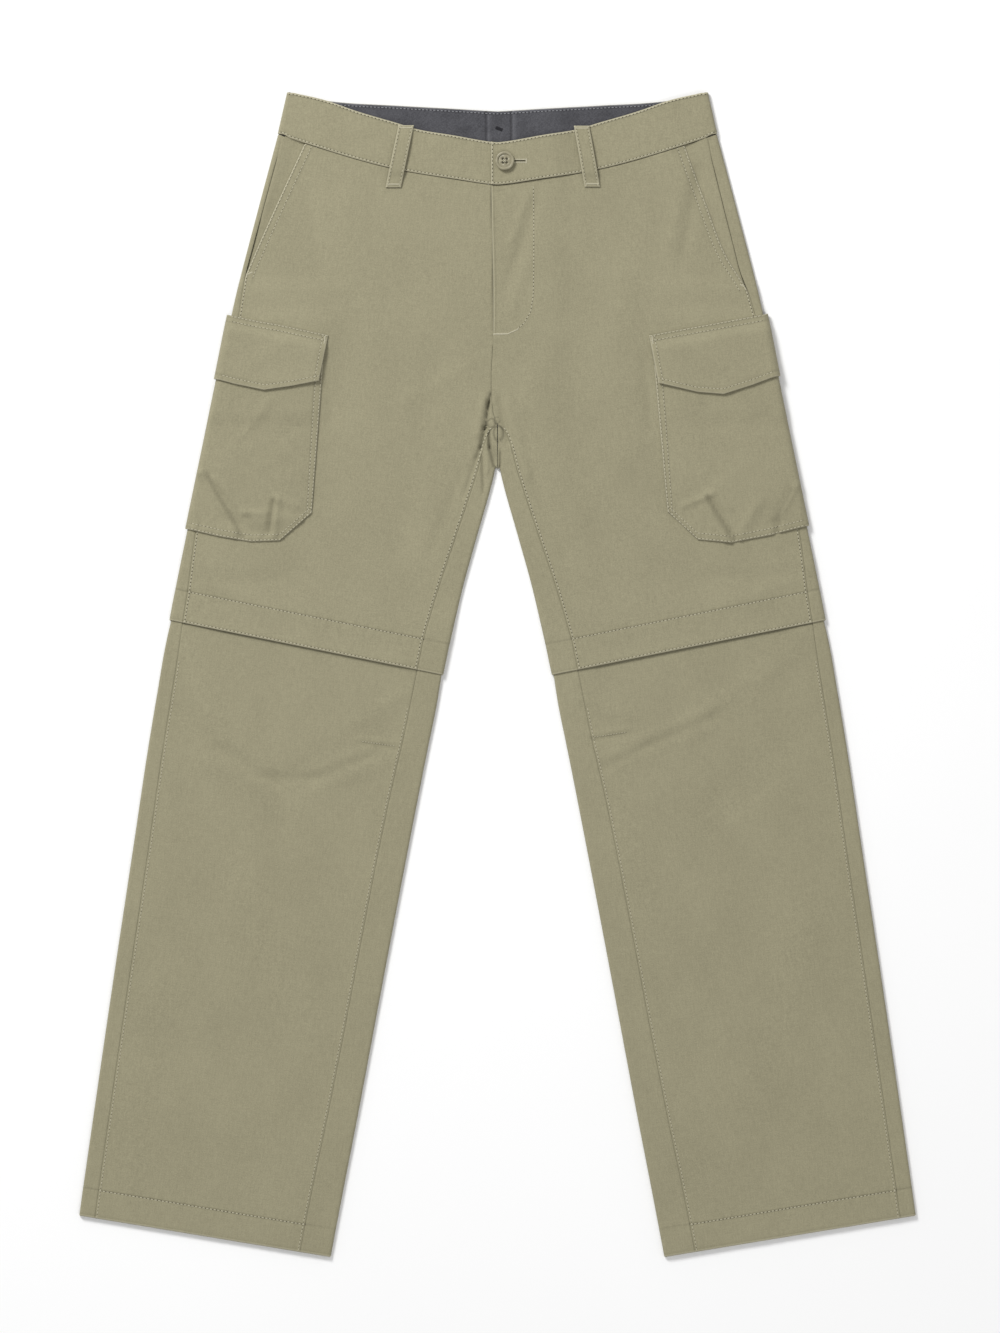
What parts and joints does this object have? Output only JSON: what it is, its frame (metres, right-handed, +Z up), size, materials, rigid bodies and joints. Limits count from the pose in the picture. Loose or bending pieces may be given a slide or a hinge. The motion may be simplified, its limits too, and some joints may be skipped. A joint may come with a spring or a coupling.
{
  "type": "convertible zip-off trousers",
  "caption": "Flat-laid convertible trousers with cargo pockets, slant pockets, belt loops and zip-off lower legs under a knee hem.",
  "frame": {"origin": "on the surface that the trousers lie on, under the middle of their box", "axes": "+Z up off the surface, +Y towards the waist, +X towards the wearer's left"},
  "size_m": [0.8068, 1.123, 0.0129],
  "materials": {
    "khaki_cloth": "matt plain weave",
    "grey_facing": "matt twill",
    "zip_tape": "matt tape",
    "button": "semi-matt"
  },
  "bodies": {
    "root": {"back_thigh_right": "khaki_cloth", "back_thigh_left": "khaki_cloth", "front_thigh_right": "khaki_cloth", "front_thigh_left": "khaki_cloth", "pocket_facing_right": "khaki_cloth", "pocket_facing_left": "khaki_cloth", "back_shin_right": "khaki_cloth", "back_shin_left": "khaki_cloth", "front_shin_right": "khaki_cloth", "front_shin_left": "khaki_cloth", "knee_zip_right": "zip_tape", "knee_zip_left": "zip_tape", "cargo_pocket_right": "khaki_cloth", "cargo_pocket_left": "khaki_cloth", "cargo_flap_right": "khaki_cloth", "cargo_flap_left": "khaki_cloth", "waistband_right": "khaki_cloth", "waistband_left": "khaki_cloth", "waistband_facing": "grey_facing", "fly_zip": "zip_tape", "front_belt_loop_right": "khaki_cloth", "front_belt_loop_left": "khaki_cloth", "back_belt_loop_centre": "khaki_cloth", "back_belt_loop_right": "khaki_cloth", "back_belt_loop_left": "khaki_cloth", "button": "button"}
  },
  "joints": []
}
